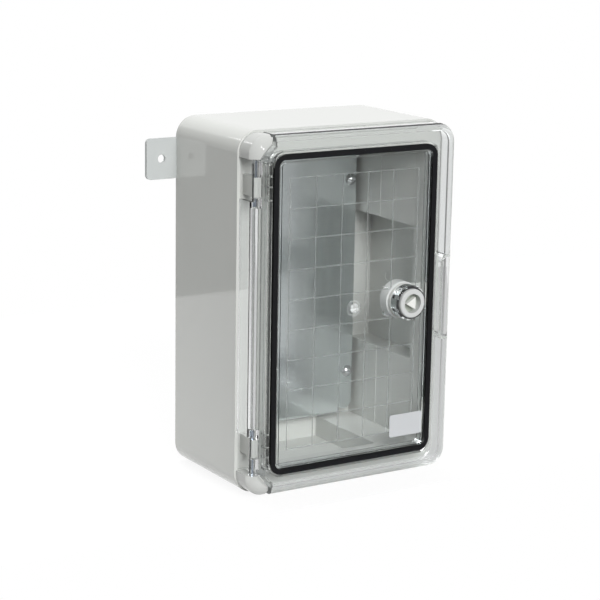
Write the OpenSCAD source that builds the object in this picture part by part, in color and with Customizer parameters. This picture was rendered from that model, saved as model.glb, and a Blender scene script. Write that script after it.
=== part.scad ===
// Wall-mounted electrical distribution box with a clear hinged door.
// Frame: +X right, +Y into the wall, +Z up; the origin is the middle of the wall face.
// Shapes are drawn lying on their backs (x right, y up, z out of the wall) and stood up by stand().

/* [Body] */
// Outside width
box_w = 200; // [190:1:240]
// Outside height
box_h = 300; // [290:1:360]
// Depth of the body from the wall to the door seam
body_d = 104; // [90:1:140]
// Radius of the four long edges
corner_r = 17.5; // [16:0.5:20]
// Thickness of the outer wall and of the back
wall_t = 3; // [2.5:0.25:4]
// Rounding of the rear edge
rear_r = 2.5; // [1:0.25:2.75]
// Thickness of the front flange
flange_t = 7; // [5:0.5:9]
// Depth of the channel in the flange that the hinged edge of the door swings through
swing_channel = 3; // [2:0.25:4]

/* [Corner chambers] */
// Length of a chamber down the side
chamber_side_l = 92; // [85:1:105]
// Length of a chamber along the top or the floor
chamber_end_l = 59; // [55:1:75]
// Thickness of the chamber walls
chamber_t = 2.5; // [2:0.25:3.5]
// Diameter of the ejector marks on the pocket walls
ejector_d = 8; // [6:0.5:10]

/* [Seal] */
// Distance of the gasket's centre line from the sides of the box
seal_side = 23.2; // [22:0.25:26]
// Distance of the gasket's centre line from the top and the bottom of the box
seal_end = 20; // [19:0.25:30]
// Sideways shift of the loop from the middle of the box
seal_x = 1.3; // [1:0.1:3]
// Corner radius of the loop on its centre line
seal_r = 8; // [6:0.5:12]
// Width of the gasket
gasket_w = 4.6; // [4:0.2:6]
// Thickness of the gasket
gasket_t = 6; // [4:0.25:7]
// Thickness of the sealing lip of the body
lip_t = 2.6; // [2:0.1:3]
// Gap between the lip and the gasket
seal_gap = 0.3; // [0.2:0.05:0.5]

/* [Door] */
// Distance from the seam to the front of the door
door_d = 22; // [20:0.5:26]
// Open gap between the body and the door
shut_gap = 1.2; // [0.8:0.1:1.6]
// Ledge of the body that shows all round the door
door_inset = 1.5; // [1:0.1:2]
// Thickness of the front skin
skin_t = 2.7; // [2.2:0.1:3.2]
// Thickness of the skirt
skirt_t = 2.5; // [2:0.1:3]
// Rounding of the front edge
edge_r = 6; // [5:0.25:7]
// Thickness of the walls beside the gasket
channel_t = 2; // [1.5:0.1:2.4]
// Reach of the gasket walls behind the gasket
channel_reach = 3.3; // [2:0.1:5]
// How far the window lies behind the front
window_recess = 2.5; // [1:0.25:3.5]
// Thickness of the window
window_t = 3; // [2.5:0.25:4]
// Pitch of the moulded grid
grid_pitch = 25; // [20:0.5:26]
// Width of a grid rib
grid_rib_w = 0.8; // [0.6:0.1:1.2]
// Height of a grid rib
grid_rib_h = 0.5; // [0.3:0.1:0.8]
// Diameter of the moulding gate dish in the middle of the window
gate_d = 13; // [10:0.5:15]
// Depth of the gate dish and height of its stub
gate_h = 0.5; // [0.3:0.1:0.8]
// Length of the finger grip in the free edge
grip_l = 69; // [60:1:90]
// Depth of the finger grip
grip_depth = 9; // [7:0.5:10]
// Label width
label_w = 33; // [24:1:34]
// Label height
label_h = 19.5; // [14:0.5:22]
// Label thickness
label_t = 0.3; // [0.2:0.05:0.5]
// Height of the middle of the label above the gasket's lower run
label_up = 23; // [18:0.5:40]

/* [Hinge] */
// Distance of the hinge axis from the left side of the body
hinge_inset = 8; // [7.5:0.1:8.5]
// Distance of the hinge axis in front of the seam
hinge_out = 14.5; // [14:0.1:15]
// Pin diameter
pin_d = 3; // [2.6:0.1:4]
// Gap round the pin
pin_gap = 0.06; // [0.04:0.01:0.09]
// Outside diameter of the knuckles
knuckle_d = 6; // [5.6:0.1:7.4]
// Length of the body knuckle
knuckle_l = 16; // [12:0.5:18]
// Distance of the middle of the body knuckle from the top of the box
knuckle_drop = 42.8; // [42:0.2:50]
// Length of the inner door knuckle
inner_knuckle_l = 8; // [7:0.5:14]
// Gap between knuckles along the pin
knuckle_gap = 0.4; // [0.3:0.05:0.6]
// Width of a hinge block
block_w = 18.8; // [17:0.1:20]
// Height of a hinge block
block_h = 18.8; // [17:0.1:19.5]
// Size of the slanted corner of a hinge block
block_cut = 10; // [7:0.5:11]
// Room left between a hinge block and the door
block_gap = 2.5; // [2:0.1:3]
// Width of the curved rim round the front of a hinge block
block_slope = 12; // [10:0.5:14]
// Drop of the curved rim from the front to its crisp outer edge
block_drop = 7; // [4:0.5:8]
// Bevel on the inner front edges of a hinge block
block_bevel = 2.5; // [2.5:0.1:3.5]
// Distance of the block screw from the left and from the end of the door
block_screw_in = 9; // [8:0.5:10]
// Thickness of the door wall beside the hinge
hinge_wall_t = 1.8; // [1.5:0.1:2.2]
// Thickness of the small ribs beside the hinge
hinge_rib_t = 1.5; // [1:0.1:2]
// How far the arm of the body knuckle stands left of the axis
arm_left_w = 1; // [0.5:0.1:1.5]
// How far the arm of the body knuckle stands right of the axis
arm_right_w = 4.5; // [3.5:0.1:5]

/* [Lock] */
// Distance of the lock from the gasket's centre line at the free edge
lock_edge = 28; // [27:0.5:40]
// Height of the lock above the middle of the door
lock_rise = 1.7; // [0:0.1:4]
// Diameter of the housing flange behind the window
lock_flange_d = 31.6; // [31:0.2:36]
// Thickness of the housing flange
lock_flange_t = 10.5; // [6:0.5:11]
// Diameter of the housing tube
lock_tube_d = 24.4; // [22:0.2:26]
// How far the housing stands out in front of the window
lock_out = 14.5; // [12:0.5:16]
// Diameter of the key recess, which the rotor fills
lock_recess_d = 16; // [14:0.2:17]
// Depth of the key recess
lock_recess = 6; // [4:0.5:7]
// Diameter of the circle round the key triangle
key_d = 12; // [9:0.2:13]
// Diameter of the rotor shaft
rotor_d = 12; // [10:0.2:13]
// Gap round the rotor
rotor_gap = 0.06; // [0.04:0.01:0.09]
// Outside diameter of the ring nut
nut_d = 29.4; // [27:0.2:31]
// Height of the ring nut
nut_h = 9.5; // [4:0.25:10]
// Diameter of the pale seal collar between the window and the ring nut
collar_d = 29.8; // [28:0.2:32]
// Height of the seal collar
collar_t = 3; // [2:0.25:4]
// Number of spanner notches in the ring nut
nut_notches = 8; // [6:1:12]
// Width across the flats of the cam square
cam_square = 8; // [7:0.1:8.4]
// Cam thickness
cam_t = 3; // [2:0.1:3.5]
// Cam width
cam_w = 12; // [11:0.5:13]
// Reach of the cam from the lock axis
cam_reach = 17.5; // [17:0.5:20]
// Gap between the locked cam and the strike
cam_gap = 1; // [0.6:0.1:2]
// Gap between the strike and the lock axis
strike_gap = 11.2; // [11:0.1:13]
// Width of the strike
strike_w = 20; // [14:0.5:26]
// Level of the strike's back in front of the seam
strike_up = 1.5; // [0.5:0.1:2]
// Thickness of the strike
strike_t = 4; // [3:0.25:6]
// Diameter of the housing's tail
lock_tail_d = 17; // [15:0.5:20]

/* [Mounting plate] */
// Gap between the plate and the chamber walls at the sides
plate_side_gap = 4.7; // [3:0.1:10]
// Gap between the plate and the chamber walls at the ends
plate_end_gap = 3.7; // [2:0.1:10]
// Sheet thickness
plate_t = 1.5; // [1:0.1:2]
// Height of the bosses that carry the plate
boss_h = 10; // [8:0.5:14]
// Diameter of the bosses
boss_d = 9; // [7:0.5:10]
// Distance of the plate screws from the side edges
plate_screw_edge = 5.6; // [5:0.1:8]
// Distance of the plate screws from the top and bottom edges
plate_screw_end = 38; // [28:1:50]
// Head diameter of the plate screws
plate_head_d = 11; // [9:0.1:11.2]
// Depth of the bent top and bottom edges
plate_fold = 8; // [5:0.5:9]
// Width of the corner tabs beside the bent edges
plate_tab = 12; // [9:0.5:16]

/* [Wall lugs] */
// How far a lug stands out from the side
lug_out = 28; // [24:0.5:34]
// Lug height
lug_h = 34.4; // [28:0.2:34.8]
// Distance of the middle of a lug from the top of the box
lug_drop = 34.8; // [34.8:0.2:40]
// Distance of the lug screw from the side of the box
lug_screw_in = 13; // [12:0.5:14]
// Lug thickness
lug_t = 3; // [2.5:0.1:4]
// Diameter of the wall screw hole
lug_hole_d = 7; // [5:0.1:9]
// Distance of the wall screw hole from the side
lug_hole_out = 14; // [12:0.5:18]
// Corner radius of a lug
lug_r = 4; // [2:0.5:6]

/* [Screws] */
// Shank diameter of the self-tapping screws
screw_d = 4; // [3:0.1:4.4]
// Length of the self-tapping screws
screw_l = 12; // [8:0.5:14]
// Head diameter of the lug and block screws
head_d = 7; // [6:0.1:7.6]
// Head height of the lug and block screws
head_h = 2.4; // [1.8:0.1:3]

/* [Hidden] */
$fn = 64;
// Overlap that makes a cut run through a face
cut = 1;

// Gasket loop, chambers and plate follow the box
seal_w = box_w - 2 * seal_side;
seal_h = box_h - 2 * seal_end;
side_pocket_h = box_h - 2 * chamber_side_l;
end_pocket_w = box_w - 2 * chamber_end_l;
lug_z = box_h / 2 - lug_drop;
knuckle_z = box_h / 2 - knuckle_drop;

// Levels, measured out of the wall
front = body_d + door_d;
skin_back = front - skin_t;
skirt_back = body_d + shut_gap;
flange_back = body_d - flange_t;
gasket_back = skin_back - gasket_t;
lip_top = gasket_back - seal_gap;
window_front = front - window_recess;
window_back = window_front - window_t;
channel_back = gasket_back - channel_reach;
plate_back = wall_t + boss_h;
plate_front = plate_back + plate_t;
axis_z = body_d + hinge_out;

// Door outline
door_w = box_w - 2 * door_inset;
door_h = box_h - 2 * door_inset;
door_r = corner_r - door_inset;
door_left = -door_w / 2;

// Inside of the sealing frame
opening_w = seal_w - lip_t;
opening_h = seal_h - lip_t;
opening_r = seal_r - lip_t / 2;
plate_w = opening_w - 2 * plate_side_gap;
plate_h = opening_h - 2 * plate_end_gap;
plate_screw_pitch = plate_h - 2 * plate_screw_end;

// Hinge
axis_x = -box_w / 2 + hinge_inset;
pin_hole_d = pin_d + 2 * pin_gap;
block_bottom = door_h / 2 - block_h;
block_right = door_left + block_w;
knuckle_top = knuckle_z + knuckle_l / 2;
knuckle_low = knuckle_z - knuckle_l / 2;
inner_knuckle_low = knuckle_low - knuckle_gap - inner_knuckle_l;
hinge_window_low = knuckle_low - 2 * knuckle_gap - channel_t;
hinge_window_top = block_bottom - knuckle_gap;
pin_low = inner_knuckle_low + 1;
pin_top = block_bottom + block_h * 0.6;
// The door beside a block stays outside the circle that the block corner reaches round the axis
clear_x = axis_x + front - axis_z + pin_gap + knuckle_gap;
arm_left = axis_x - arm_left_w;
arm_right = axis_x + arm_right_w;

// Lock
lock_x = seal_w / 2 - lock_edge;
lock_px = seal_x + lock_x;
lock_front = window_front + lock_out;
rotor_face = lock_front - lock_recess;
rotor_step = rotor_face - 5;
housing_back = window_back - lock_flange_t;
strike_back = body_d + strike_up;
cam_front = strike_back - cam_gap;
cam_back = cam_front - cam_t;
tail_back = cam_front + knuckle_gap;
o_ring_d = 1.8;
cam_washer_t = 1.2;

// Screws
plate_screw_x = plate_w / 2 - plate_screw_edge;
lug_screw_x = box_w / 2 - lug_screw_in;
block_screw_x = door_left + block_screw_in;
block_screw_y = door_h / 2 - block_screw_in;
pilot_d = screw_d + 0.1;
pilot_l = screw_l + 1;

body_grey = "#cfd2d0";
clear_tint = "#dfe9ec";
rubber_black = "#1b1b1c";
steel_grey = "#a9aeb3";
zinc_grey = "#9aa3a6";
chrome_grey = "#c9ccd0";
label_white = "#e9ebec";
seal_white = "#d6d8d6";

// Common shapes

// Turns a shape drawn lying on its back so that it stands with its back to the wall
module stand() { rotate([90, 0, 0]) children(); }

// Rectangle with round corners
module rounded(w, h, r) {
    square([w - 2 * r, h], center = true);
    square([w, h - 2 * r], center = true);
    for (sx = [-1, 1], sy = [-1, 1]) translate([sx * (w / 2 - r), sy * (h / 2 - r)]) circle(r);
}

// Flat layer between two levels
module layer(low, high) { translate([0, 0, low]) linear_extrude(high - low) children(); }

// Rectangle between two corners
module span(x0, y0, x1, y1) { translate([x0, y0]) square([x1 - x0, y1 - y0]); }

// Carries a profile round a rectangle: profile x runs outwards from the corner centres, y is the level
module carried_round(w, h, r) {
    for (k = [0:3]) {
        run = k % 2 == 0 ? h - 2 * r : w - 2 * r;
        reach = (k % 2 == 0 ? w : h) / 2 - r;
        rotate(90 * k) translate([reach, run / 2, 0]) rotate([90, 0, 0]) linear_extrude(run) children();
        sx = k == 0 || k == 3 ? 1 : -1;
        sy = k < 2 ? 1 : -1;
        translate([sx * (w / 2 - r), sy * (h / 2 - r), 0])
            rotate(90 * k) rotate_extrude(angle = 90) children();
    }
}

// Ring wall between two levels, w and h outside
module ring_wall(w, h, r, t, low, high) {
    layer(low, high) difference() {
        rounded(w, h, r);
        rounded(w - 2 * t, h - 2 * t, r - t);
    }
}

// Both of a pair, one each side of the middle height
module upper_and_lower() {
    children();
    mirror([0, 1, 0]) children();
}

// Both of a pair, one each side of the middle
module left_and_right() {
    children();
    mirror([1, 0, 0]) children();
}

// Upright cylinder between two heights on the hinge axis
module on_axis(d, low, high) {
    translate([axis_x, high, axis_z]) rotate([90, 0, 0]) cylinder(d = d, h = high - low);
}

// Self-tapping screw that points out of the wall, seated under its head at z = 0
module tapping_screw() {
    translate([0, 0, -head_h]) cylinder(d1 = head_d - 1.6, d2 = head_d, h = head_h);
    cylinder(d = screw_d, h = screw_l - 1.5);
    translate([0, 0, screw_l - 1.5]) cylinder(d1 = screw_d, d2 = 1, h = 1.5);
}

// Body

// Solid outline of the body with its rounded rear edge
module body_block() {
    layer(0, body_d) rounded(box_w - 2 * rear_r, box_h - 2 * rear_r, corner_r - rear_r);
    carried_round(box_w, box_h, corner_r) {
        span(corner_r - 2 * rear_r, rear_r, corner_r, body_d);
        translate([corner_r - rear_r, rear_r]) circle(rear_r);
    }
}

// Plan of one corner chamber with its walls, at the upper right
module chamber_plan(inset) {
    left = seal_x + opening_w / 2 + inset;
    low = opening_h / 2 + inset;
    span(left, side_pocket_h / 2 + inset, box_w, box_h);
    span(seal_x + end_pocket_w / 2 + inset, low, box_w, box_h);
}

// Plan of one corner chamber at the upper left
module left_chamber_plan(inset) {
    right = seal_x - opening_w / 2 - inset;
    low = opening_h / 2 + inset;
    span(-box_w, side_pocket_h / 2 + inset, right, box_h);
    span(-box_w, low, seal_x - end_pocket_w / 2 - inset, box_h);
}

// Plan of all four chambers
module chambers_plan(inset) {
    for (sy = [0, 1]) mirror([0, sy]) {
        chamber_plan(inset);
        left_chamber_plan(inset);
    }
}

// Plan of the room inside the outer wall
module inner_plan() { rounded(box_w - 2 * wall_t, box_h - 2 * wall_t, corner_r - wall_t); }

// Bosses for the mounting plate, each with its pilot hole
module plate_bosses() {
    for (sx = [-1, 1], sy = [-1, 1])
        translate([seal_x + sx * plate_screw_x, sy * plate_screw_pitch / 2, wall_t - cut])
            cylinder(d = boss_d, h = boss_h + cut);
}

// Post in a chamber that takes the screw of a lug, tied to the outer wall by a rib
module lug_post() layer(lug_t, flange_back) {
    translate([lug_screw_x, lug_z]) circle(d = boss_d);
    span(lug_screw_x, lug_z - chamber_t / 2, box_w / 2 - wall_t / 2, lug_z + chamber_t / 2);
}

// Holes that the self-tapping screws cut into
module pilot_holes() {
    for (sx = [-1, 1], sy = [-1, 1])
        translate([seal_x + sx * plate_screw_x, sy * plate_screw_pitch / 2, plate_front - pilot_l])
            cylinder(d = pilot_d, h = pilot_l);
    left_and_right() translate([lug_screw_x, lug_z, -cut]) cylinder(d = pilot_d, h = pilot_l + cut);
}

module body() color(body_grey) stand() difference() {
    union() {
        difference() {
            body_block();
            layer(wall_t, flange_back) difference() {
                inner_plan();
                chambers_plan(0);
            }
            layer(-cut, flange_back) intersection() {
                inner_plan();
                chambers_plan(chamber_t);
            }
            layer(flange_back, body_d + cut) inner_plan();
            left_and_right() layer(-cut, lug_t) span(
                box_w / 2 - wall_t - cut, lug_z - lug_h / 2 - knuckle_gap,
                box_w, lug_z + lug_h / 2 + pin_gap
            );
        }
        plate_bosses();
        left_and_right() lug_post();
    }
    pilot_holes();
    left_and_right() for (level = [0.3, 0.62]) translate([box_w / 2 - wall_t - cut, 0, body_d * level])
        rotate([0, 90, 0]) cylinder(d = ejector_d, h = cut + 0.6);
}

// Front frame

// Knuckle on an arm that stands on the flange
module body_knuckle() {
    difference() {
        union() {
            on_axis(knuckle_d, knuckle_low, knuckle_top);
            layer(body_d - swing_channel - cut, axis_z) span(arm_left, knuckle_low, arm_right, knuckle_top);
        }
        on_axis(pin_hole_d, knuckle_low - cut, knuckle_top + cut);
    }
}

// Tongue on the lip that the cam locks behind
module strike() {
    edge = seal_x + opening_w / 2;
    left = lock_px + strike_gap;
    r = strike_t / 2;
    layer(strike_back, strike_back + strike_t) translate([0, lock_rise]) {
        span(left + r, -strike_w / 2, edge + cut, strike_w / 2);
        span(left, r - strike_w / 2, edge, strike_w / 2 - r);
        for (s = [-1, 1]) translate([left + r, s * (strike_w / 2 - r)]) circle(r);
    }
}

module front_frame() color(body_grey) stand() {
    frame_ring();
    upper_and_lower() body_knuckle();
}

// Flange with the sealing lip and the strike
module frame_ring() difference() {
    union() {
        layer(flange_back, body_d) difference() {
            inner_plan();
            translate([seal_x, 0]) rounded(opening_w, opening_h, opening_r);
        }
        translate([seal_x, 0, 0])
            ring_wall(seal_w + lip_t, seal_h + lip_t, seal_r + lip_t / 2, lip_t, flange_back, lip_top);
        strike();
    }
    layer(body_d - swing_channel, body_d + cut)
        span(-box_w, -hinge_window_top, seal_x - seal_w / 2 - lip_t / 2, hinge_window_top);
    upper_and_lower() translate([block_screw_x, block_screw_y, flange_back - cut])
        cylinder(d = pilot_d, h = flange_t + 2 * cut);
}

// Hinge blocks

// Outline of the upper block, slanted at its inner corner
module block_plan() {
    polygon([
        [door_left - cut, block_bottom], [block_right - block_cut, block_bottom],
        [block_right, block_bottom + block_cut * 1.1], [block_right, door_h], [door_left - cut, door_h]
    ]);
}

// Solid outline of the door with its front edge rounded to r
module door_block(low, r) {
    layer(low, front) rounded(door_w - 2 * r, door_h - 2 * r, door_r - r);
    carried_round(door_w, door_h, door_r) {
        span(door_r - r - cut, low, door_r, front - r);
        intersection() {
            translate([door_r - r, front - r]) circle(r);
            span(door_r - r, front - 2 * r, door_r, front);
        }
    }
}

// Solid outline of the door whose front curves down to a crisp outer edge
module falling_front(low) {
    arc_r = (block_slope * block_slope + block_drop * block_drop) / (2 * block_drop);
    flat_r = door_r - block_slope;
    layer(low, front) rounded(door_w - 2 * block_slope, door_h - 2 * block_slope, flat_r);
    carried_round(door_w, door_h, door_r) {
        span(flat_r - cut, low, door_r, front - block_drop);
        intersection() {
            translate([flat_r, front - arc_r]) circle(arc_r);
            span(flat_r, front - block_drop - cut, door_r, front);
        }
    }
}

// Bevels the front edge of a block from one plan point to another
module front_bevel(p, q) {
    run = norm(q - p);
    side = block_bevel * sqrt(2);
    translate([p[0], p[1], front]) rotate(atan2(q[1] - p[1], q[0] - p[0])) rotate([45, 0, 0])
        translate([-cut, -side / 2, -side / 2]) cube([run + 2 * cut, side, side]);
}

module hinge_block() {
    slant_low = [block_right - block_cut, block_bottom];
    slant_top = [block_right, block_bottom + block_cut * 1.1];
    difference() {
        intersection() {
            falling_front(body_d);
            layer(0, front + cut) block_plan();
        }
        front_bevel(slant_low, slant_top);
        front_bevel(slant_top, [block_right, door_h / 2]);
        on_axis(pin_hole_d, block_bottom - cut, pin_top);
        translate([block_screw_x, block_screw_y, body_d - cut])
            cylinder(d = pilot_d, h = pilot_l - flange_t + cut);
    }
}

module upper_hinge_block() color(body_grey) stand() hinge_block();

module lower_hinge_block() color(body_grey) stand() mirror([0, 1, 0]) hinge_block();

module hinge_block_screws() color(steel_grey) stand() upper_and_lower()
    translate([block_screw_x, block_screw_y, flange_back]) tapping_screw();

// Hinge pin with a small chamfer at both ends
module hinge_pin() {
    chamfer = pin_d / 8;
    on_axis(pin_d, pin_low + chamfer, pin_top - chamfer);
    for (end = [pin_low, pin_top]) {
        inwards = end == pin_low ? 1 : -1;
        translate([axis_x, end, axis_z]) rotate([-90 * inwards, 0, 0])
            cylinder(d1 = pin_d - 2 * chamfer, d2 = pin_d, h = chamfer);
    }
}

module upper_hinge_pin() color(steel_grey) stand() hinge_pin();

module lower_hinge_pin() color(steel_grey) stand() mirror([0, 1, 0]) hinge_pin();

// Mounting plate

// Edge of the plate bent back towards the wall, drawn as a profile: x outwards, y is the level
module fold_profile() {
    bend_r = 2 * plate_t;
    difference() {
        translate([0, plate_front - bend_r]) circle(bend_r);
        translate([0, plate_front - bend_r]) circle(bend_r - plate_t);
        span(-2 * bend_r, plate_front - 2 * bend_r, 0, plate_front + cut);
        span(-2 * bend_r, plate_front - 2 * bend_r - cut, 2 * bend_r, plate_front - bend_r);
    }
    span(bend_r - plate_t, plate_front - plate_fold, bend_r, plate_front - bend_r);
}

module mounting_plate() color(zinc_grey) stand() translate([seal_x, 0, 0]) difference() {
    bend_r = 2 * plate_t;
    fold_w = plate_w - 2 * plate_tab;
    tab_end = plate_h / 2 - 1.2 * bend_r;
    union() {
        layer(plate_back, plate_front) {
            square([fold_w, plate_h - 2 * bend_r], center = true);
            difference() {
                square([plate_w, 2 * tab_end], center = true);
                for (sx = [-1, 1], sy = [-1, 1])
                    translate([sx * plate_w / 2, sy * tab_end]) rotate(45)
                        square(plate_tab * 0.55, center = true);
            }
        }
        upper_and_lower() translate([-fold_w / 2, plate_h / 2 - bend_r, 0])
            rotate([90, 0, 90]) linear_extrude(fold_w) fold_profile();
    }
    for (sx = [-1, 1], sy = [-1, 1]) {
        translate([sx * plate_screw_x, sy * plate_screw_pitch / 2, 0])
            cylinder(d = screw_d + 0.6, h = plate_front + cut);
        translate([sx * fold_w / 2, sy * (plate_h / 2 - bend_r), 0])
            cylinder(d = 4, h = plate_front + cut);
    }
}

// Domed screw heads on the plate, each with a cross recess
module plate_screws() color(steel_grey) stand()
    for (sx = [-1, 1], sy = [-1, 1])
        translate([seal_x + sx * plate_screw_x, sy * plate_screw_pitch / 2, plate_front]) {
            dome_h = plate_head_d * 0.34;
            dome_r = (plate_head_d * plate_head_d / 4 + dome_h * dome_h) / (2 * dome_h);
            difference() {
                intersection() {
                    translate([0, 0, dome_h - dome_r]) sphere(dome_r);
                    cylinder(d = plate_head_d + 1, h = dome_h + 1);
                }
                for (turn = [0, 90]) rotate(turn) translate([0, 0, dome_h])
                    cube([plate_head_d * 0.45, 1.2, 2.4], center = true);
            }
            translate([0, 0, 0.5 - screw_l]) cylinder(d = screw_d, h = screw_l);
        }

// Wall lugs

module wall_lug() difference() {
    lug_in = box_w / 2 - lug_screw_x + boss_d / 2;
    layer(0, lug_t) translate([box_w / 2 + (lug_out - lug_in) / 2, lug_z])
        rounded(lug_out + lug_in, lug_h, lug_r);
    translate([box_w / 2 + lug_hole_out, lug_z, -cut]) cylinder(d = lug_hole_d, h = lug_t + 2 * cut);
    translate([lug_screw_x, lug_z, -cut]) cylinder(d = screw_d + 0.6, h = lug_t + 2 * cut);
    translate([lug_screw_x, lug_z, -cut]) cylinder(d = head_d + 0.4, h = head_h - 1 + cut);
}

module wall_lug_left() color(body_grey) stand() mirror([1, 0, 0]) wall_lug();

module wall_lug_right() color(body_grey) stand() wall_lug();

module lug_screws() color(steel_grey) stand() left_and_right() translate([lug_screw_x, lug_z, head_h - 1]) {
    translate([0, 0, 1 - head_h]) cylinder(d = head_d, h = head_h - 1);
    cylinder(d = screw_d, h = screw_l - head_h);
}

// Door

// Left corner of the door that gives way to the upper hinge block
module corner_cut_plan() {
    low = hinge_window_top;
    right = block_right + block_gap;
    slant = right - clear_x;
    polygon([
        [-box_w, low], [clear_x, low], [clear_x, low + block_gap], [right, low + block_gap + slant * 1.1],
        [right, box_h], [-box_w, box_h]
    ]);
}

// Wall that closes the door along the corner cut and beside the hinge
module corner_wall_plan() {
    low = hinge_window_top;
    right = block_right + block_gap;
    slant = right - clear_x;
    t = hinge_wall_t;
    end = door_h / 2 - edge_r;
    slant_top = low + block_gap + slant * 1.1;
    polygon([
        [clear_x, 0], [clear_x, low + block_gap], [right, slant_top], [right, end], [right + t, end],
        [right + t, slant_top - t / 2], [clear_x + t, low + block_gap - t / 2], [clear_x + t, 0]
    ]);
}

// Finger grip sunk into the free edge, drawn in plan
module grip_plan(grow) {
    translate([door_w / 2 - grip_depth / 2, 0])
        rounded(grip_depth + 2 * grow, grip_l + 2 * grow, grip_depth / 2 - 0.1 + grow);
    span(door_w / 2 - grip_depth / 2, -grip_l / 2 - grow, door_w / 2 + grow, grip_l / 2 + grow);
}

// Outer shell of the door: skirt, rounded edge and front skin
module door_shell() difference() {
    door_block(skirt_back, edge_r);
    layer(skirt_back - cut, front - edge_r)
        rounded(door_w - 2 * skirt_t, door_h - 2 * skirt_t, door_r - skirt_t);
    layer(front - edge_r - cut, skin_back) rounded(door_w - 2 * edge_r, door_h - 2 * edge_r, door_r - edge_r);
    upper_and_lower() layer(0, front + cut) corner_cut_plan();
    upper_and_lower() layer(0, skin_back)
        span(-box_w, hinge_window_low, clear_x + hinge_wall_t / 2, hinge_window_top + cut);
    layer(0, front - edge_r) grip_plan(0);
    layer(window_front, front + cut) translate([seal_x, 0]) window_plan();
}

// Outline of the sunk window
module window_plan() {
    lost = gasket_w + 2 * channel_t;
    rounded(seal_w - lost, seal_h - lost, max(seal_r - lost / 2, 2));
}

// Walls each side of the gasket and the window between them
module window_frame() translate([seal_x, 0, 0]) {
    // Each wall's outside stands this far from the gasket's centre line
    top = skin_back + cut / 2;
    for (out = [gasket_w / 2 + channel_t, -gasket_w / 2])
        ring_wall(seal_w + 2 * out, seal_h + 2 * out, seal_r + out, channel_t, channel_back, top);
    lost = gasket_w + channel_t;
    layer(window_back, window_front) rounded(seal_w - lost, seal_h - lost, seal_r - gasket_w / 2);
}

// Moulded square grid on the back of the window
module grid_ribs() {
    cols = floor((seal_w - gasket_w - 2 * channel_t) / grid_pitch);
    rows = floor((seal_h - gasket_w - 2 * channel_t) / grid_pitch) - 1;
    w = cols * grid_pitch;
    h = rows * grid_pitch;
    translate([seal_x, 0, window_back - grid_rib_h]) linear_extrude(grid_rib_h + cut / 2) difference() {
        union() {
            for (i = [0:cols]) translate([i * grid_pitch - w / 2, 0])
                square([grid_rib_w, h + grid_rib_w], center = true);
            for (j = [0:rows]) translate([0, j * grid_pitch - h / 2])
                square([w + grid_rib_w, grid_rib_w], center = true);
        }
        translate([lock_x, lock_rise]) circle(d = lock_flange_d + 1);
    }
}

// Outer and inner knuckle of the door, tied to the front skin
module door_knuckles() {
    outer = [knuckle_top + knuckle_gap, hinge_window_top];
    inner = [inner_knuckle_low, knuckle_low - knuckle_gap];
    for (ends = [outer, inner]) {
        on_axis(knuckle_d, ends[0], ends[1]);
        layer(axis_z, skin_back + cut / 2)
            span(axis_x - knuckle_d / 2, ends[0], axis_x + knuckle_d / 2, ends[1]);
    }
}

// Small ribs between the hinge wall and the gasket wall
module hinge_ribs() {
    left = clear_x + hinge_wall_t / 2;
    right = seal_x - seal_w / 2 - gasket_w / 2 - channel_t / 2;
    for (y = [hinge_window_low, knuckle_z, knuckle_top + knuckle_gap, hinge_window_top - 4])
        layer(gasket_back, skin_back + cut / 2) span(left, y - hinge_rib_t / 2, right, y + hinge_rib_t / 2);
}

module door() color(clear_tint) stand() difference() {
    union() {
        door_shell();
        window_frame();
        grid_ribs();
        upper_and_lower() {
            door_knuckles();
            hinge_ribs();
            layer(channel_back, skin_back + cut / 2) corner_wall_plan();
        }
        layer(skirt_back, skin_back + cut / 2) difference() {
            grip_plan(skirt_t);
            grip_plan(0);
            span(door_w / 2 - skirt_t / 2, -box_h, box_w, box_h);
        }
        translate([seal_x, 0, window_front - gate_h]) cylinder(d = gate_d * 0.6, h = 2 * gate_h);
    }
    upper_and_lower() on_axis(pin_hole_d, inner_knuckle_low - cut, hinge_window_top + cut);
    at_lock(0) cylinder(d = lock_tube_d + 0.2, h = front);
    translate([seal_x, 0, window_front - gate_h]) difference() {
        cylinder(d = gate_d, h = 2 * gate_h);
        translate([0, 0, -gate_h]) cylinder(d = gate_d * 0.6, h = 4 * gate_h);
    }
}

module door_gasket() color(rubber_black) stand() translate([seal_x, 0, 0])
    carried_round(seal_w, seal_h, seal_r) {
        bulge = gasket_w / 2;
        span(seal_r - bulge, gasket_back + bulge / 2, seal_r + bulge, skin_back);
        span(seal_r - bulge / 2, gasket_back, seal_r + bulge / 2, gasket_back + bulge);
        for (s = [-1, 1]) translate([seal_r + s * bulge / 2, gasket_back + bulge / 2]) circle(bulge / 2);
    }

// Bare label on the lower free corner of the window
module door_label() color(label_white) stand() {
    x = seal_x + (seal_w - gasket_w) / 2 - channel_t - 1 - label_w / 2;
    y = -seal_h / 2 + label_up;
    layer(window_front, window_front + label_t) translate([x, y]) rounded(label_w, label_h, 2);
}

// Lock

module at_lock(level) { translate([lock_px, lock_rise, level]) children(); }

module lock_housing() color(body_grey) stand() difference() {
    rim = 0.8;
    union() {
        at_lock(housing_back) {
            cylinder(d1 = lock_flange_d - 2 * rim, d2 = lock_flange_d, h = rim);
            translate([0, 0, rim]) cylinder(d = lock_flange_d, h = lock_flange_t - rim);
        }
        at_lock(housing_back) cylinder(d = lock_tube_d, h = lock_front - housing_back - rim);
        at_lock(tail_back) cylinder(d = lock_tail_d, h = housing_back - tail_back + rim);
        at_lock(lock_front - rim) cylinder(d1 = lock_tube_d, d2 = lock_tube_d - 2 * rim, h = rim);
    }
    at_lock(tail_back - cut) cylinder(d = rotor_d + 2 * rotor_gap, h = lock_front);
    at_lock(rotor_step) cylinder(d = lock_recess_d + 2 * rotor_gap, h = lock_front);
}

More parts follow.
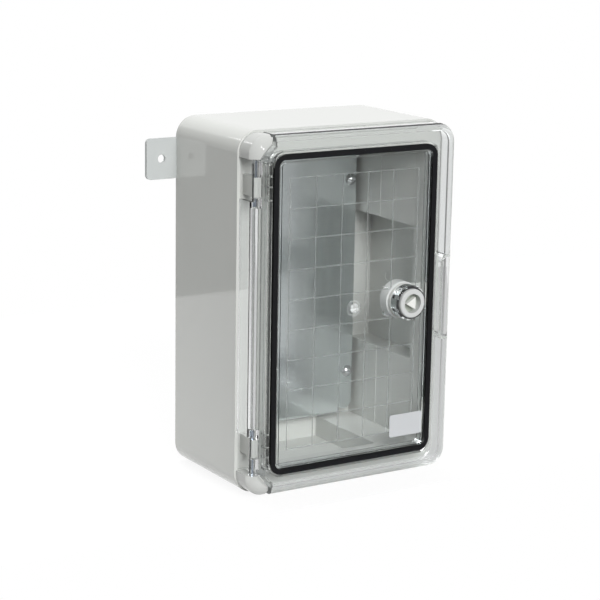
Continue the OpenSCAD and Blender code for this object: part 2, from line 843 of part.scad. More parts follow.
module lock_seal_ring() color(seal_white) stand() at_lock(window_front) difference() {
    bevel = 0.6;
    union() {
        cylinder(d = collar_d, h = collar_t - bevel);
        translate([0, 0, collar_t - bevel]) cylinder(d1 = collar_d, d2 = collar_d - 2 * bevel, h = bevel);
    }
    translate([0, 0, -cut]) cylinder(d = lock_tube_d + 0.1, h = collar_t + 2 * cut);
}

module lock_ring_nut() color(chrome_grey) stand() at_lock(window_front + collar_t) difference() {
    bevel = 1.2;
    notch = 3;
    union() {
        cylinder(d = nut_d, h = nut_h - bevel);
        translate([0, 0, nut_h - bevel]) cylinder(d1 = nut_d, d2 = nut_d - 2 * bevel, h = bevel);
    }
    translate([0, 0, -cut]) cylinder(d = lock_tube_d + 0.1, h = nut_h + 2 * cut);
    for (k = [1:nut_notches]) rotate(360 / nut_notches * (k + 0.5))
        translate([nut_d / 2, 0, nut_h / 2 + notch / 2]) cube([2, notch, nut_h], center = true);
}

module lock_rotor() color(body_grey) stand() difference() {
    union() {
        at_lock(rotor_step) cylinder(d = lock_recess_d, h = rotor_face - rotor_step);
        at_lock(cam_front) cylinder(d = rotor_d, h = rotor_step - cam_front);
        at_lock(cam_back) translate([-cam_square / 2, -cam_square / 2, 0])
            cube([cam_square, cam_square, cam_t + knuckle_gap]);
        at_lock(rotor_face) rotate(180) linear_extrude(lock_recess - 0.5) circle(d = key_d, $fn = 3);
    }
    at_lock((rotor_step + housing_back) / 2) rotate_extrude()
        translate([rotor_d / 2 - o_ring_d / 2 + rotor_gap, 0])
            square([o_ring_d * 2, o_ring_d + 0.2], center = true);
    at_lock(cam_back - cut) cylinder(d = pilot_d, h = pilot_l);
}

module rotor_o_ring() color(rubber_black) stand() at_lock((rotor_step + housing_back) / 2) rotate_extrude()
    translate([rotor_d / 2 - o_ring_d / 2, 0]) circle(d = o_ring_d);

// Tongue that swings behind the strike, drawn at rest pointing down
module lock_cam() color(steel_grey) stand() at_lock(cam_back) difference() {
    tip = cam_reach - cam_w / 4;
    linear_extrude(cam_t) {
        circle(d = cam_w + cam_t);
        span(-cam_w / 2, -tip, cam_w / 2, 0);
        span(-cam_w / 4, -cam_reach, cam_w / 4, -tip);
        for (s = [-1, 1]) translate([s * cam_w / 4, -tip]) circle(d = cam_w / 2);
    }
    translate([-cam_square / 2 - 0.05, -cam_square / 2 - 0.05, -cut])
        cube([cam_square + 0.1, cam_square + 0.1, cam_t + 2 * cut]);
}

module cam_washer() color(steel_grey) stand() at_lock(cam_back - cam_washer_t) difference() {
    cylinder(d = cam_square * 1.5, h = cam_washer_t);
    translate([0, 0, -cut]) cylinder(d = pilot_d, h = cam_washer_t + 2 * cut);
}

module cam_screw() color(steel_grey) stand() at_lock(cam_back - cam_washer_t) {
    translate([0, 0, -3]) cylinder(d = head_d + 1, h = 3, $fn = 6);
    cylinder(d = screw_d, h = screw_l - 2);
}

body();
front_frame();
upper_hinge_block();
lower_hinge_block();
hinge_block_screws();
upper_hinge_pin();
lower_hinge_pin();
mounting_plate();
plate_screws();
wall_lug_left();
wall_lug_right();
lug_screws();
door();
door_gasket();
door_label();
lock_housing();
lock_seal_ring();
lock_ring_nut();
lock_rotor();
rotor_o_ring();
lock_cam();
cam_washer();
cam_screw();
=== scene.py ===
# %% [markdown]
# # A clear-door distribution box
#
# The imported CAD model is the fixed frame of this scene: every solid is already in its place, in metres.
# This lesson dresses it with a camera, light, one finish per material and a few details that are too
# fine for the solids. Nothing in the frame is moved, so the hinge and the lock still work.
#
# Loading leaves every CAD node selected, and an operator acts on all that is selected, so everything is
# deselected straight after it.

# %% Load the frame
import math

import bpy
from mathutils import Matrix, Vector


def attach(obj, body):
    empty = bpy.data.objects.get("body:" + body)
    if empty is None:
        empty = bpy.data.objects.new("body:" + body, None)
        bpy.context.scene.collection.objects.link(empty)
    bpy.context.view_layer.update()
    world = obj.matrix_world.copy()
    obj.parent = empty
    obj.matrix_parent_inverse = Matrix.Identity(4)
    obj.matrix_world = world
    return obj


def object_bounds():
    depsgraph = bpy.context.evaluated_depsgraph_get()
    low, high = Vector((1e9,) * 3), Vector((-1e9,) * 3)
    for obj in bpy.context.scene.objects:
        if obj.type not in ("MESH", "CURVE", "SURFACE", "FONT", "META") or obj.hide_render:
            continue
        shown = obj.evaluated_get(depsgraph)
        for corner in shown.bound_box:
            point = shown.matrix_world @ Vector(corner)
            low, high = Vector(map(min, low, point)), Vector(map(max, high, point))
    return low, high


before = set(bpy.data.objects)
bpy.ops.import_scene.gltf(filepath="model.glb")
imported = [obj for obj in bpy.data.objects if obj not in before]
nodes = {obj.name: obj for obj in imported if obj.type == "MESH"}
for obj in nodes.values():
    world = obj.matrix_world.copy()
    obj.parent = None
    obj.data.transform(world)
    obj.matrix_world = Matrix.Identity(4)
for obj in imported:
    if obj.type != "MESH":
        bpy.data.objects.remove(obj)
cad_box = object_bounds()
bpy.ops.object.select_all(action="DESELECT")
scene = bpy.context.scene
scene.view_settings.view_transform = "Standard"
print("loaded", len(nodes), "nodes; box", [[round(v, 4) for v in corner] for corner in cad_box])

# %% [markdown]
# ## Camera
#
# A product photo of a box shows vanishing points, so its camera can be solved from the box's own edges.
# It could also be placed by eye, but then every later comparison with the photo would be a little off.
# The place, the lens and the small roll below come from the solved edges. The matrix is built from the
# three directions of the view, which avoids any guessing about Euler angles.

# %% Directions of the view
CAMERA_AZIMUTH = math.radians(-32.12)
CAMERA_ELEVATION = math.radians(12.91)
CAMERA_ROLL = math.radians(1.01)

ahead = Vector((
    -math.sin(CAMERA_AZIMUTH) * math.cos(CAMERA_ELEVATION),
    math.cos(CAMERA_AZIMUTH) * math.cos(CAMERA_ELEVATION),
    -math.sin(CAMERA_ELEVATION),
))
level_right = Vector((math.cos(CAMERA_AZIMUTH), math.sin(CAMERA_AZIMUTH), 0))
level_up = level_right.cross(ahead)
right = math.cos(CAMERA_ROLL) * level_right + math.sin(CAMERA_ROLL) * level_up
up = -math.sin(CAMERA_ROLL) * level_right + math.cos(CAMERA_ROLL) * level_up
print("camera looks along", tuple(round(v, 3) for v in ahead))

# %% Camera
CAMERA_PLACE = Vector((-0.8466, -1.38992, 0.35545))
CAMERA_LENS_MM = 114.02
CAMERA_SENSOR_MM = 36
CAMERA_CLIP_START = 0.05

lens = bpy.data.cameras.new("photo_camera")
lens.lens = CAMERA_LENS_MM
lens.sensor_width = CAMERA_SENSOR_MM
lens.clip_start = CAMERA_CLIP_START
camera = bpy.data.objects.new("photo_camera", lens)
scene.collection.objects.link(camera)
turn = Matrix((right, up, -ahead)).transposed().to_4x4()
camera.matrix_world = Matrix.Translation(CAMERA_PLACE) @ turn
scene.camera = camera
print("camera at", tuple(round(v, 3) for v in CAMERA_PLACE))

# %% [markdown]
# ## Shader maths as Python
#
# A finish is a web of nodes, and its masks are arithmetic: a distance from the middle, less than a radius.
# Such a web could be built node by node, but it is easier to read as a formula. `Value` wraps one output
# socket, and every operator on it adds one Math node to the web.


# %% Shader values
class Value:
    """One shader number that can be used in Python arithmetic."""

    def __init__(self, web, socket):
        self.web = web
        self.socket = socket

    def math(self, operation, other=0.0, flipped=False):
        first, second = (other, self) if flipped else (self, other)
        return self.web.node("Math", {"operation": operation}, {0: first, 1: second})

    def __add__(self, other):
        return self.math("ADD", other)

    def __radd__(self, other):
        return self.math("ADD", other)

    def __sub__(self, other):
        return self.math("SUBTRACT", other)

    def __rsub__(self, other):
        return self.math("SUBTRACT", other, flipped=True)

    def __mul__(self, other):
        return self.math("MULTIPLY", other)

    def __rmul__(self, other):
        return self.math("MULTIPLY", other)

    def __lt__(self, other):
        return self.math("LESS_THAN", other)

    def __gt__(self, other):
        return self.math("GREATER_THAN", other)

    def __abs__(self):
        return self.math("ABSOLUTE")


print("shader values ready")

# %% [markdown]
# ## Webs and finishes
#
# `Web` grows any node tree by one call per node: the node's type, its settings, and then the values or
# links of its sockets. `Finish` is the web of one material. What is the same all over a surface is set
# straight on the Principled socket, where the exporter finds it, and only patterns become nodes.


# %% Web
class Web:
    """A node tree that grows by one call per node."""

    def __init__(self, tree):
        self.tree = tree

    def feed(self, socket, value):
        if isinstance(value, Value):
            self.tree.links.new(value.socket, socket)
        else:
            socket.default_value = value

    def node(self, kind, settings=None, sockets=None, output=0):
        made = self.tree.nodes.new("ShaderNode" + kind)
        for key, value in (settings or {}).items():
            setattr(made, key, value)
        for key, value in (sockets or {}).items():
            self.feed(made.inputs[key], value)
        return Value(self, made.outputs[output])

    def part(self, vector, axis):
        """One coordinate of a vector: X, Y or Z."""
        return self.node("SeparateXYZ", None, {0: vector}, axis)

    def ramp(self, value, start, end):
        """0 at start, 1 at end and a straight line between them."""
        return self.node("MapRange", None, {"Value": value, "From Min": start, "From Max": end})

    def ray(self, kind):
        """1 where the ray that asks is of this kind, such as Camera or Glossy, and 0 elsewhere."""
        return self.node("LightPath", output="Is " + kind + " Ray")


print("webs ready")

# %% Finish
EDGE_SAMPLES = 4
COLOUR_LOW, COLOUR_HIGH, COLOUR_OUT = 6, 7, 2  # the Mix node's colour sockets share names with others


class Finish(Web):
    """A material whose constants sit on the Principled sockets and whose patterns are nodes."""

    def __init__(self, name, **constants):
        self.material = bpy.data.materials.new(name)
        self.material.use_nodes = True
        super().__init__(self.material.node_tree)
        self.surface = self.tree.nodes["Principled BSDF"]
        self.set(**constants)

    def set(self, **values):
        for socket, value in values.items():
            self.feed(self.surface.inputs[socket.replace("_", " ")], value)

    def place(self):
        """Object coordinates, in metres of the shared frame."""
        return self.node("TexCoord", output="Object")

    def stretched(self, scale):
        return self.node("Mapping", None, {"Vector": self.place(), "Scale": scale})

    def noise(self, scale, detail=3.0, where=None):
        where = where or self.place()
        return self.node("TexNoise", None, {"Vector": where, "Scale": scale, "Detail": detail}, "Fac")

    def colours(self, factor, low, high):
        """One colour at 0, the other at 1."""
        sockets = {"Factor": factor, COLOUR_LOW: (*low, 1), COLOUR_HIGH: (*high, 1)}
        return self.node("Mix", {"data_type": "RGBA"}, sockets, COLOUR_OUT)

    def chalk(self, colour):
        """A plain dull surface, to lay over another."""
        return self.node("BsdfDiffuse", None, {"Color": (*colour, 1)})

    def mix_in(self, factor, shader):
        """Lays another shader over what the material shows so far."""
        end = self.tree.nodes["Material Output"].inputs["Surface"]
        below = Value(self, end.links[0].from_socket)
        mixed = self.node("MixShader", None, {0: factor, 1: below, 2: shader})
        self.tree.links.new(mixed.socket, end)

    def soft_edges(self, radius, height=None, distance=0.0):
        """Rounds edges in the shading, under an optional bump."""
        normal = self.node("Bevel", {"samples": EDGE_SAMPLES}, {"Radius": radius})
        if height is not None:
            bump = {"Height": height, "Distance": distance, "Normal": normal}
            normal = self.node("Bump", None, bump)
        self.set(Normal=normal)


print("finishes ready")


# %% Painting a node
def paint(finish, *names):
    """Puts a finish on CAD nodes, through their material slots."""
    for name in names:
        slots = nodes[name].material_slots
        if not slots:
            nodes[name].data.materials.append(finish.material)
        for slot in slots:
            slot.material = finish.material
    print(finish.material.name, "on", ", ".join(names))


# %% [markdown]
# ## Glossy grey mouldings
#
# The body, the front frame and the hinge blocks are polished mouldings, pale grey and almost mirror-like.
# One flat colour would do from far away, but a real moulding shifts its shade a little and is never quite
# flat. So slow noise moves the colour, fine noise breaks the gloss, and a very low, wide bump bends the
# reflections. The walls inside the box are satin. They could be a second material, but a face that looks
# back at the middle is an inner one, so the place and the normal together tell which is which. The front
# frame and the hinge blocks get a darker grey than the body, as painted shade that holds down the lamp's
# light on them, so one function makes all three shades.

# %% Glossy grey
BODY_GREY = ((0.58, 0.592, 0.57), (0.60, 0.61, 0.585))
# painted shade: the front frame and the hinge blocks are darker than the body to hold down the lamp's light
# on them
SHADED_FRAME_GREY = ((0.53, 0.54, 0.52), (0.545, 0.555, 0.535))
SHADED_BLOCK_GREY = ((0.5, 0.51, 0.495), (0.515, 0.525, 0.51))
MOULDING_IOR = 1.5
INNER_SATIN = 0.38
LOOKS_INWARD = -0.001


def glossy_plastic(name, shades, satin_inside=INNER_SATIN):
    finish = Finish(name, IOR=MOULDING_IOR)
    where = finish.place()
    facing = finish.node("NewGeometry", output="Normal")
    sideways = finish.part(where, "X") * finish.part(facing, "X")
    upright = finish.part(where, "Z") * finish.part(facing, "Z")
    inside = sideways + upright < LOOKS_INWARD
    gloss = 0.03 + 0.04 * finish.noise(scale=900.0, detail=2.0)
    finish.set(
        Base_Color=finish.colours(finish.noise(scale=9.0, detail=2.0), *shades),
        Roughness=gloss + satin_inside * inside,
    )
    waves = finish.noise(scale=30.0, detail=1.0)
    finish.soft_edges(radius=0.0006, height=waves, distance=0.000008)
    return finish


grey_plastic = glossy_plastic("grey_plastic", BODY_GREY)
paint(grey_plastic, "body")
paint(glossy_plastic("shaded_frame_plastic", SHADED_FRAME_GREY), "front_frame")
shaded_block_plastic = glossy_plastic("shaded_block_plastic", SHADED_BLOCK_GREY, satin_inside=0.0)
paint(shaded_block_plastic, "upper_hinge_block", "lower_hinge_block")

# %% [markdown]
# ## Satin lock housing
#
# The lock's housing is one grey moulding. The flange behind the window is painted paler than the tube in
# front of it, as painted light that stands in for the light it gets from below. It could be split into two
# materials by face, but a mask on the depth coordinate needs no change to the mesh. A fine bump gives the
# satin grain.

# %% Lock housing
WINDOW_BACK_Y = -0.1205
FLANGE_MARGIN = 0.0005
TUBE_GREY = (0.54, 0.55, 0.545)
# painted light: the flange behind the window is made paler than the tube in front
LIT_FLANGE_GREY = (0.8, 0.81, 0.8)

satin_grey = Finish("satin_grey", Specular_IOR_Level=0.45)
painted_light_flange = satin_grey.part(satin_grey.place(), "Y") > WINDOW_BACK_Y - FLANGE_MARGIN
mottle = 0.15 * satin_grey.noise(scale=60.0)
satin_grey.set(
    Base_Color=satin_grey.colours(0.85 * painted_light_flange + mottle, TUBE_GREY, LIT_FLANGE_GREY),
    Roughness=0.3 + 0.1 * satin_grey.noise(scale=1500.0),
)
satin_grey.soft_edges(radius=0.0004, height=satin_grey.noise(scale=2500.0), distance=0.00001)
paint(satin_grey, "lock_housing")

# %% [markdown]
# ## Key and rotor
#
# The rotor is a pale moulding with a triangular key in a round recess. The bottom of the recess is painted
# darker and slightly green, as painted shade. A shade map could be baked for it, but the recess is simple:
# its depth alone tells how dark it is, so a ramp along the depth paints the shade.

# %% Lock rotor
KEY_FLOOR_Y = -0.1325
KEY_HEIGHT = 0.003
# painted shade: the floor of the key recess is darker and slightly green
KEY_FLOOR_SHADE_GREY = (0.42, 0.45, 0.4)
KEY_TOP_GREY = (0.74, 0.75, 0.72)

key_grey = Finish("key_grey", Specular_IOR_Level=0.4)
depth = key_grey.part(key_grey.place(), "Y")
key_top = key_grey.ramp(depth, KEY_FLOOR_Y, KEY_FLOOR_Y - KEY_HEIGHT)
key_grey.set(
    Base_Color=key_grey.colours(key_top, KEY_FLOOR_SHADE_GREY, KEY_TOP_GREY),
    Roughness=0.34 + 0.1 * key_grey.noise(scale=1500.0),
)
key_grey.soft_edges(radius=0.0003, height=key_grey.noise(scale=2500.0), distance=0.00001)
paint(key_grey, "lock_rotor")

# %% [markdown]
# ## Wall lugs
#
# The lugs that hold the box to the wall are small mouldings with a duller surface than the body. They
# could share its finish with more roughness, but their grey is a little cooler and their grain coarser, so
# they get a finish of their own.

# %% Wall lugs
LUG_GREY = ((0.5, 0.525, 0.52), (0.55, 0.57, 0.565))

lug_grey = Finish("lug_grey", Specular_IOR_Level=0.35)
lug_grey.set(
    Base_Color=lug_grey.colours(lug_grey.noise(scale=40.0), *LUG_GREY),
    Roughness=0.42 + 0.12 * lug_grey.noise(scale=1200.0),
)
lug_grey.soft_edges(radius=0.0005, height=lug_grey.noise(scale=1800.0), distance=0.00002)
paint(lug_grey, "wall_lug_left", "wall_lug_right")

# %% [markdown]
# ## Clear polycarbonate
#
# The door is one thick clear moulding. A thin see-through shader would be quicker, but its edges would
# look flat, and the bright and dark lines in the rounded edges are what makes clear plastic look thick.
# So the door refracts, with the index of polycarbonate.

# %% Clear door
POLYCARBONATE_IOR = 1.58
WINDOW_X = 0.0013

clear_door = Finish(
    "clear_polycarbonate",
    Base_Color=(0.98, 0.99, 0.99, 1),
    Transmission_Weight=1.0,
    IOR=POLYCARBONATE_IOR,
    Roughness=0.015,
)
where = clear_door.place()
sideways = clear_door.part(where, "X")
depth = clear_door.part(where, "Y")
across = abs(sideways - WINDOW_X)
upright = abs(clear_door.part(where, "Z"))
print("clear door measured from the window's middle, x =", WINDOW_X)

# %% [markdown]
# ## Grid, gate and cut ends
#
# Three places on the door aren't polished. Fine ribs on the back of the window form a grid, the gate is the
# round mark where the plastic entered the mould, and the ends beside the hinge blocks are cut. Each could
# be a thin piece of its own, but the shape is already in the solid and only the surface differs. So each
# gets a mask in Object coordinates, and a dull shader is laid over the clear one there.

# %% Grid ribs
GRID_HALF_WIDTH = 0.0630
GRID_HALF_HEIGHT = 0.1130
RIB_FRONT_Y = -0.12045
SCUFFED = (0.36, 0.375, 0.37)

in_grid = (across < GRID_HALF_WIDTH) * (upright < GRID_HALF_HEIGHT)
ribs = in_grid * (depth > RIB_FRONT_Y)
clear_door.mix_in(0.42 * ribs, clear_door.chalk(SCUFFED))
print("grid ribs scuffed")

# %% Gate
GATE_BACK_Y = -0.1229
RING_OUTER = 0.0069
RING_INNER = 0.0055
CORE_RADIUS = 0.0041
MILKY = (0.85, 0.88, 0.88)

reach = (across * across + upright * upright).math("SQRT")
gate_front = depth < GATE_BACK_Y
gate_ring = (reach < RING_OUTER) * (reach > RING_INNER) * gate_front
gate_core = (reach < CORE_RADIUS) * gate_front
torn = clear_door.ramp(clear_door.noise(scale=420.0, detail=2.0), 0.42, 0.62)
clear_door.mix_in(0.22 * gate_ring + gate_core * (0.25 + 0.65 * torn), clear_door.chalk(MILKY))
print("gate ring and torn core, out to", RING_OUTER)

# %% Cut ends
CUT_END_X = -0.0771
CUT_END_Z = 0.1265
FACES_FRONT = 0.5
FROSTED = (0.6, 0.62, 0.615)

facing = abs(clear_door.part(clear_door.node("NewGeometry", output="Normal"), "Y"))
cut_ends = (sideways < CUT_END_X) * (upright > CUT_END_Z) * (facing < FACES_FRONT)
clear_door.mix_in(0.4 * cut_ends, clear_door.chalk(FROSTED))
print("cut ends frosted")

# %% [markdown]
# ## Light through the door
#
# A path tracer can't aim light through refracting plastic, so the inside of the box would be nearly black
# behind the door. Caustics would solve that slowly and with much noise. Here shadow rays and scattered
# rays pass straight through, and only what is looked at or mirrored is refracted.

# %% Open way for light
WAY_TINT = (0.99, 0.995, 0.995, 1)

open_way = clear_door.node("BsdfTransparent", None, {"Color": WAY_TINT})
lighting = clear_door.ray("Shadow").math("MAXIMUM", clear_door.ray("Diffuse"))
clear_door.mix_in(lighting, open_way)
paint(clear_door, "door")

# %% [markdown]
# ## Black rubber
#
# The door gasket and the rotor's ring are dull black rubber with fine pores. Pure black would hide their
# shape, so the colour stays a little above it. One noise drives colour, roughness and bump together,
# because on the real thing all three come from the same pores.

# %% Black rubber
RUBBER_BLACK = ((0.006, 0.006, 0.007), (0.016, 0.016, 0.018))

black_rubber = Finish("black_rubber", Specular_IOR_Level=0.35)
pores = black_rubber.noise(scale=1800.0, detail=4.0)
black_rubber.set(Base_Color=black_rubber.colours(pores, *RUBBER_BLACK), Roughness=0.55 + 0.2 * pores)
black_rubber.soft_edges(radius=0.0003, height=pores, distance=0.00004)
paint(black_rubber, "door_gasket", "rotor_o_ring")

# %% [markdown]
# ## Pale seal collar
#
# Between the window and the ring nut sits a pale collar that looks like silicone. Subsurface light would
# suit a large piece of it, but this one is a few millimetres thick, so a satin surface is enough.

# %% Pale silicone
SILICONE_GREY = ((0.66, 0.67, 0.65), (0.74, 0.75, 0.73))

silicone = Finish("pale_silicone", Specular_IOR_Level=0.4)
silicone.set(
    Base_Color=silicone.colours(silicone.noise(scale=900.0), *SILICONE_GREY),
    Roughness=0.35 + 0.15 * silicone.noise(scale=1500.0),
)
silicone.soft_edges(radius=0.0003)
paint(silicone, "lock_seal_ring")

# %% [markdown]
# ## Galvanised plate
#
# The mounting plate is zinc-coated sheet: soft spangle over faint level rolling marks. Both could be
# painted as an image, but noise gives them at any distance. The rolling marks are noise on stretched
# coordinates, long from side to side and short up and down.

# %% Zinc sheet
ZINC = ((0.8, 0.845, 0.855), (0.87, 0.915, 0.925))
ROLLING_SCALE = (60.0, 900.0, 900.0)

zinc_sheet = Finish("zinc_sheet", Metallic=0.97)
rolling = zinc_sheet.noise(scale=1.0, where=zinc_sheet.stretched(ROLLING_SCALE))
spangle = zinc_sheet.noise(scale=70.0, detail=2.0)
zinc_sheet.set(
    Base_Color=zinc_sheet.colours(0.6 * spangle + 0.4 * rolling, *ZINC),
    Roughness=0.15 + 0.12 * rolling,
)
zinc_sheet.soft_edges(radius=0.0004, height=rolling, distance=0.00003)
paint(zinc_sheet, "mounting_plate")

# %% [markdown]
# ## Bright steel
#
# The screws, the cam and its washer are bright plated steel. Perfect mirrors of this size would sparkle
# unevenly, so fine scuffs vary the colour and the roughness, and the edges are rounded in the shading.

# %% Bright steel
STEEL = ((0.58, 0.59, 0.6), (0.72, 0.73, 0.74))

bright_steel = Finish("bright_steel", Metallic=1.0)
scuffs = bright_steel.noise(scale=700.0, detail=4.0)
bright_steel.set(Base_Color=bright_steel.colours(scuffs, *STEEL), Roughness=0.14 + 0.12 * scuffs)
bright_steel.soft_edges(radius=0.0002, height=scuffs, distance=0.00001)
paint(bright_steel, "plate_screws", "hinge_block_screws", "lug_screws")
paint(bright_steel, "lock_cam", "cam_washer", "cam_screw")

# %% [markdown]
# ## Chrome ring nut
#
# The ring nut of the lock is polished chrome, the brightest mirror on the box. A slight haze keeps its
# reflections from looking like cut paper.

# %% Chrome
CHROME = ((0.83, 0.84, 0.85), (0.89, 0.9, 0.91))

chrome = Finish("chrome", Metallic=1.0)
haze = chrome.noise(scale=400.0)
chrome.set(Base_Color=chrome.colours(haze, *CHROME), Roughness=0.04 + 0.05 * haze)
chrome.soft_edges(radius=0.0004)
paint(chrome, "lock_ring_nut")

# %% [markdown]
# ## Hinge pins
#
# The pins are drawn steel rods and look blue-grey through the clear knuckles. Drawing leaves fine lines
# along a rod, so the noise is stretched along the height, as the plate's was from side to side.

# %% Pin steel
PIN_BLUE = ((0.2, 0.24, 0.3), (0.42, 0.46, 0.52))
DRAWING_SCALE = (2500.0, 2500.0, 60.0)

pin_steel = Finish("pin_steel", Metallic=1.0)
drawn = pin_steel.noise(scale=1.0, where=pin_steel.stretched(DRAWING_SCALE))
pin_steel.set(Base_Color=pin_steel.colours(drawn, *PIN_BLUE), Roughness=0.08 + 0.08 * drawn)
pin_steel.soft_edges(radius=0.0002)
paint(pin_steel, "upper_hinge_pin", "lower_hinge_pin")

# %% [markdown]
# ## Bare label
#
# The label on the window is a plain satin film. Its solid is already there, so it needs only a pale colour
# with very fine fibres and a dull gloss.

# %% Label
FILM_GREY = ((0.5, 0.515, 0.53), (0.55, 0.565, 0.58))

label_film = Finish("label_film", Specular_IOR_Level=0.4)
fibres = label_film.noise(scale=2200.0, detail=4.0)
label_film.set(Base_Color=label_film.colours(fibres, *FILM_GREY), Roughness=0.45 + 0.15 * fibres)
label_film.soft_edges(radius=0.0001, height=fibres, distance=0.000005)
paint(label_film, "door_label")

# %% [markdown]
# ## Mould seams
#
# A fine raised line runs up each inner side wall beside the corner chambers, where two parts of the mould
# meet. A bump could draw it, but a real ridge catches the light from every side. One seam is modelled from
# a cube: stretched, stood on edge so that half of it is buried in the wall, and bevelled. The other three
# are copies with their own meshes.

# %% One seam
SEAM_LOW = 0.0584
SEAM_TOP = 0.1286
SEAM_WIDTH = 0.001
SEAM_SIDE = SEAM_WIDTH / math.sqrt(2)
SEAM_ROUNDING = SEAM_WIDTH * 0.12

bpy.ops.object.select_all(action="DESELECT")
bpy.ops.mesh.primitive_cube_add(size=1.0, location=(0, 0, 0))
first_seam = bpy.context.object
bpy.ops.object.mode_set(mode="EDIT")
bpy.ops.mesh.select_all(action="SELECT")
bpy.ops.transform.resize(value=(SEAM_SIDE, SEAM_SIDE, SEAM_TOP - SEAM_LOW))
bpy.ops.transform.rotate(value=math.radians(45), orient_axis="Z", center_override=(0, 0, 0))
bpy.ops.mesh.bevel(offset=SEAM_ROUNDING, segments=2)
bpy.ops.object.mode_set(mode="OBJECT")
first_seam.data.materials.append(grey_plastic.material)
print("one seam with", len(first_seam.data.polygons), "faces")

# %% Four seams
SEAM_Y = -0.046
RIGHT_WALL_X = 0.0768
LEFT_WALL_X = -0.0742
SEAM_MIDDLE_Z = (SEAM_LOW + SEAM_TOP) / 2
SEAM_PLACES = {
    "upper_right_seam": (RIGHT_WALL_X, SEAM_Y, SEAM_MIDDLE_Z),
    "lower_right_seam": (RIGHT_WALL_X, SEAM_Y, -SEAM_MIDDLE_Z),
    "upper_left_seam": (LEFT_WALL_X, SEAM_Y, SEAM_MIDDLE_Z),
    "lower_left_seam": (LEFT_WALL_X, SEAM_Y, -SEAM_MIDDLE_Z),
}

seams = [first_seam]
while len(seams) < len(SEAM_PLACES):
    bpy.ops.object.select_all(action="DESELECT")
    first_seam.select_set(True)
    bpy.context.view_layer.objects.active = first_seam
    bpy.ops.object.duplicate()
    seams.append(bpy.context.object)

for seam, (name, place) in zip(seams, SEAM_PLACES.items()):
    seam.name = name
    bpy.ops.object.select_all(action="DESELECT")
    seam.select_set(True)
    bpy.context.view_layer.objects.active = seam
    bpy.ops.object.mode_set(mode="EDIT")
    bpy.ops.mesh.select_all(action="SELECT")
    bpy.ops.transform.translate(value=place)
    bpy.ops.object.mode_set(mode="OBJECT")
    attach(seam, "box")
    print("mould seam", name)

# %% [markdown]
# ## Floor
#
# The photo has a plain white ground. More light would turn the floor white but burn out the box too, so the
# floor glows only for rays that look at it, mirror it or come through the clear door. A small share of it
# stays an ordinary dull floor, which keeps the box's shadow.

# %% Floor
FLOOR_DROP = 0.0005
FLOOR_WIDTH = 2.4
FLOOR_FRONT = -0.16
FLOOR_BACK = 0.56
FLOOR_GLOW = 1.06
MIRRORED_GAIN = 0.1
THROUGH_LOSS = 0.55
GLOW_SHARE = 0.85

floor_level = cad_box[0][2] - FLOOR_DROP
bpy.ops.object.select_all(action="DESELECT")
bpy.ops.mesh.primitive_plane_add(size=1.0, location=(0, 0, floor_level))
floor = bpy.context.object
floor.scale = (FLOOR_WIDTH, FLOOR_BACK - FLOOR_FRONT, 1)
floor.location.y = (FLOOR_BACK + FLOOR_FRONT) / 2
floor.name = "studio_floor"
pale_floor = Finish("pale_floor", Base_Color=(0.72, 0.72, 0.72, 1), Roughness=0.6)
looked_at = pale_floor.ray("Camera")
mirrored = pale_floor.ray("Glossy")
through = pale_floor.ray("Transmission")
glow_strength = FLOOR_GLOW + MIRRORED_GAIN * mirrored - THROUGH_LOSS * through
glow = pale_floor.node("Emission", None, {"Strength": glow_strength})
pale_floor.mix_in(GLOW_SHARE * (looked_at + mirrored + through).math("MINIMUM", 1.0), glow)
floor.data.materials.append(pale_floor.material)
print("floor at z =", round(floor_level, 4))

# %% [markdown]
# ## World
#
# A studio is white behind the object and dim in front of it. An image of a room could light the scene, but
# a few ramps over the direction are enough. Each kind of ray gets its own answer: the camera sees
# white, a mirror sees the backdrop above the table, the clear door shows a grey room with a pale table, and
# all other rays get a soft, even light.

# %% Directions of the world
BACK_Y = (-0.15, 0.25)  # from the room in front to the ground behind
HORIZON_Z = (-0.12, -0.02)  # from the table to what stands above it
TABLE_Z = (-0.19, -0.29)  # from level down to the table
BACKDROP_X = (-0.36, -0.3)  # the left end of the backdrop
CORNER_X = (0.535, 0.495)  # the corner of the room in front, on the right
BESIDE_X = (0.75, 0.95)  # straight to the right

world = bpy.data.worlds.new("studio_world")
world.use_nodes = True
scene.world = world
sky = Web(world.node_tree)
direction = sky.node("TexCoord", output="Generated")
back = sky.ramp(sky.part(direction, "Y"), *BACK_Y)
above = sky.ramp(sky.part(direction, "Z"), *HORIZON_Z)
table = sky.ramp(sky.part(direction, "Z"), *TABLE_Z)
backdrop = sky.ramp(sky.part(direction, "X"), *BACKDROP_X)
flank = sky.ramp(sky.part(direction, "X"), *CORNER_X) * (1.0 - back)
beside = sky.ramp(sky.part(direction, "X"), *BESIDE_X)
print("world has six zones")

# %% Light of the world
MIRRORED_FRONT = 0.06
MIRRORED_BACK = 0.9
PAST_BACKDROP = 0.15
ON_BACKDROP = 0.85
THROUGH_FRONT = 0.25
THROUGH_BACK = 0.52
THROUGH_TABLE = 0.36
THROUGH_FLANK = 0.22
BESIDE_LOSS = 0.5
AMBIENT_FRONT = 0.25
AMBIENT_BACK = 0.32

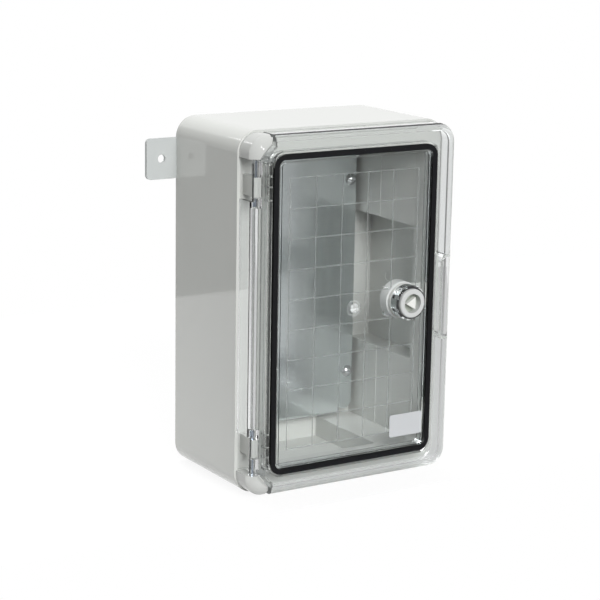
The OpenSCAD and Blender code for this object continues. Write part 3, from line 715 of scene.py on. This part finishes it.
looked_at = sky.ray("Camera")
mirrored = sky.ray("Glossy")
through = sky.ray("Transmission")
plain = (1.0 - mirrored) * (1.0 - through) * (1.0 - looked_at)
screen = back * above * (PAST_BACKDROP + ON_BACKDROP * backdrop)
room = THROUGH_FRONT + THROUGH_BACK * back + THROUGH_TABLE * table + THROUGH_FLANK * flank
strength = (
    looked_at
    + mirrored * (MIRRORED_FRONT + MIRRORED_BACK * screen)
    + through * room * (1.0 - BESIDE_LOSS * beside)
    + plain * (AMBIENT_FRONT + AMBIENT_BACK * back)
)
background = sky.tree.nodes["Background"]
sky.feed(background.inputs["Strength"], strength)
sky.feed(background.inputs["Color"], (1, 1, 1, 1))
print("world light set for four kinds of ray")

# %% [markdown]
# ## Lamps
#
# One large softbox above on the front left does most of the work, a weak one near the table fills the
# lower front, and one above and behind lights the top. Three small ones give the bright points on
# edges and screws. Sun lamps would be simpler, but their hard shadows don't suit a studio. The
# large ones are hidden from mirrors, because no such white square shows on the glossy box.


# %% Softbox
def softbox(name, place, target, side, power):
    """An area lamp, aimed at a point. side is one length, or a width and a height."""
    width, height = side if isinstance(side, tuple) else (side, side)
    lamp = bpy.data.lights.new(name, "AREA")
    lamp.shape = "RECTANGLE"
    lamp.size = width
    lamp.size_y = height
    lamp.energy = power
    holder = bpy.data.objects.new(name, lamp)
    scene.collection.objects.link(holder)
    aim = Vector(target) - Vector(place)
    holder.location = place
    holder.rotation_euler = aim.to_track_quat("-Z", "Y").to_euler()
    print("softbox", name, power, "W")
    return holder


# %% Large lamps
MIDDLE = (0, 0, 0)
LOWER_FRONT = (0, -0.1, -0.08)

main_lamp = softbox("front_softbox", place=(-0.56, -2.64, 1.45), target=MIDDLE, side=1.44, power=78)
main_lamp.visible_glossy = False
bounce_lamp = softbox(
    "table_bounce", place=(0.28, -0.8, -0.15), target=LOWER_FRONT, side=(0.6, 0.5), power=0.8
)
bounce_lamp.visible_glossy = False
bounce_lamp.visible_transmission = False
top_lamp = softbox("top_softbox", place=(0, 0.5, 1.5), target=MIDDLE, side=0.8, power=13)
top_lamp.visible_glossy = False

# %% Small lamps
TOP_LEFT_EDGE = (-0.09, -0.05, 0.14)

softbox("rim_lamp", place=(-0.524, 1.105, 0.8), target=TOP_LEFT_EDGE, side=0.09, power=0.16)
softbox("left_sparkle", place=(-0.36, -1.63, 0.9), target=MIDDLE, side=0.2, power=2.0)
softbox("right_sparkle", place=(0.02, -1.85, 0.62), target=MIDDLE, side=0.2, power=2.0)
